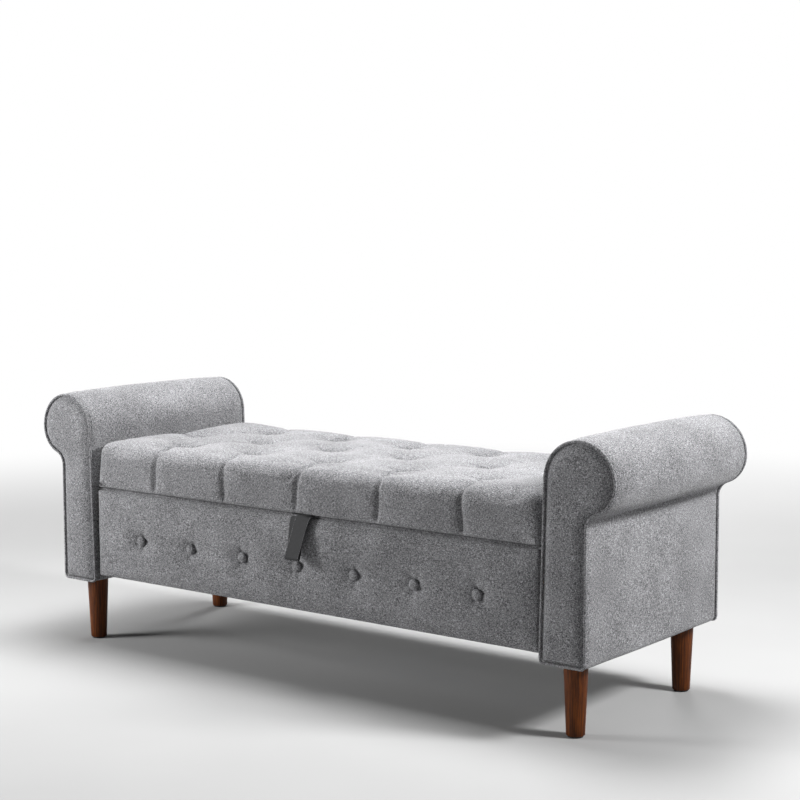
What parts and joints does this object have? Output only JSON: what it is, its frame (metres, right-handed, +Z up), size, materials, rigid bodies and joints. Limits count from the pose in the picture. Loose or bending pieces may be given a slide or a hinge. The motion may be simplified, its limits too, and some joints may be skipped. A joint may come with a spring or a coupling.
{
  "type": "storage bench",
  "caption": "Upholstered storage bench with rolled arms, a button-tufted hinged seat lid, a buttoned front panel, a fabric pull loop and round tapered wooden legs.",
  "frame": {"origin": "on the floor, under the middle of the space that the closed bench takes up", "axes": "+X along the bench to the right as seen from the front, -Y towards the front, +Z up"},
  "size_m": [1.613, 0.5715, 0.602],
  "materials": {
    "dark_grey_ribbon": "woven dark grey ribbon, matt",
    "grey_fabric": "heathered mid-grey linen-look weave, matt",
    "walnut_stained_wood": "dark walnut stain under satin lacquer",
    "plywood": "sanded plywood, bare",
    "fibreboard": "sawn fibreboard, bare",
    "pale_foam": "cut foam, open cells",
    "lining_cloth": "thin non-woven lining, matt",
    "black_cloth": "thin black non-woven dust cloth",
    "zinc_steel": "bright zinc plate",
    "black_rubber": "moulded rubber, matt",
    "black_plastic": "moulded nylon, matt"
  },
  "bodies": {
    "base": {"arm_bolts": "zinc_steel", "back_board": "plywood", "back_cover": "grey_fabric", "bottom_board": "plywood", "box_fitting_screws": "zinc_steel", "dust_cover": "black_cloth", "foot_glides": "black_plastic", "front_board": "plywood", "front_buttons": "grey_fabric", "front_cover": "grey_fabric", "hinge_pins": "zinc_steel", "hinge_rim_leaves": "zinc_steel", "left_arm_back_facing": "grey_fabric", "left_arm_back_piping": "grey_fabric", "left_arm_base_board": "plywood", "left_arm_end_frames": "fibreboard", "left_arm_front_facing": "grey_fabric", "left_arm_front_piping": "grey_fabric", "left_arm_inner_board": "plywood", "left_arm_outer_board": "plywood", "left_arm_pad": "grey_fabric", "left_arm_roll_core": "pale_foam", "left_end_board": "plywood", "left_stay_box_bracket": "zinc_steel", "leg_back_left": "walnut_stained_wood", "leg_back_right": "walnut_stained_wood", "leg_bolts": "zinc_steel", "leg_front_left": "walnut_stained_wood", "leg_front_right": "walnut_stained_wood", "leg_plate_screws": "zinc_steel", "leg_plates": "zinc_steel", "right_arm_back_facing": "grey_fabric", "right_arm_back_piping": "grey_fabric", "right_arm_base_board": "plywood", "right_arm_end_frames": "fibreboard", "right_arm_front_facing": "grey_fabric", "right_arm_front_piping": "grey_fabric", "right_arm_inner_board": "plywood", "right_arm_outer_board": "plywood", "right_arm_pad": "grey_fabric", "right_arm_roll_core": "pale_foam", "right_end_board": "plywood", "right_stay_box_bracket": "zinc_steel", "rim_bumpers": "black_rubber", "storage_lining": "lining_cloth"},
    "lid": {"lid_board": "plywood", "lid_cushion": "grey_fabric", "lid_tuft_buttons": "grey_fabric", "lid_lining": "lining_cloth", "hinge_lid_leaves": "zinc_steel", "lid_fitting_screws": "zinc_steel", "left_stay_lid_bracket": "zinc_steel", "right_stay_lid_bracket": "zinc_steel", "pull_tab_strip": "dark_grey_ribbon"},
    "pull_loop": {"pull_tab": "dark_grey_ribbon"},
    "left_stay_lower": {"left_stay_lower_link": "zinc_steel"},
    "left_stay_upper": {"left_stay_upper_link": "zinc_steel"},
    "right_stay_lower": {"right_stay_lower_link": "zinc_steel"},
    "right_stay_upper": {"right_stay_upper_link": "zinc_steel"}
  },
  "joints": [
    {"name": "lid_hinge", "type": "hinge", "parent": "base", "child": "lid", "pos_m": [0, 0.2685, 0.3805], "axis": [-1, 0, 0], "range_deg": [0, 90]},
    {"name": "left_stay_box_pivot", "type": "hinge", "parent": "base", "child": "left_stay_lower", "pos_m": [-0.6085, 0.15974, 0.32979], "axis": [-1, 0, 0], "range_deg": [0, 90]},
    {"name": "left_stay_lid_pivot", "type": "hinge", "parent": "lid", "child": "left_stay_upper", "pos_m": [-0.6085, 0.14909, 0.36858], "axis": [-1, 0, 0], "range_deg": [-90, 0]},
    {"name": "right_stay_box_pivot", "type": "hinge", "parent": "base", "child": "right_stay_lower", "pos_m": [0.6085, 0.15974, 0.32979], "axis": [-1, 0, 0], "range_deg": [0, 90]},
    {"name": "right_stay_lid_pivot", "type": "hinge", "parent": "lid", "child": "right_stay_upper", "pos_m": [0.6085, 0.14909, 0.36858], "axis": [-1, 0, 0], "range_deg": [-90, 0]},
    {"name": "pull_loop_swing", "type": "hinge", "parent": "lid", "child": "pull_loop", "pos_m": [0, -0.2502, 0.38], "axis": [-1, 0, 0], "range_deg": [0, 75]}
  ],
  "couplings": [
    {"joint": "left_stay_box_pivot", "follows": "lid_hinge", "ratio": 1},
    {"joint": "left_stay_lid_pivot", "follows": "lid_hinge", "ratio": -1},
    {"joint": "right_stay_box_pivot", "follows": "lid_hinge", "ratio": 1},
    {"joint": "right_stay_lid_pivot", "follows": "lid_hinge", "ratio": -1}
  ]
}
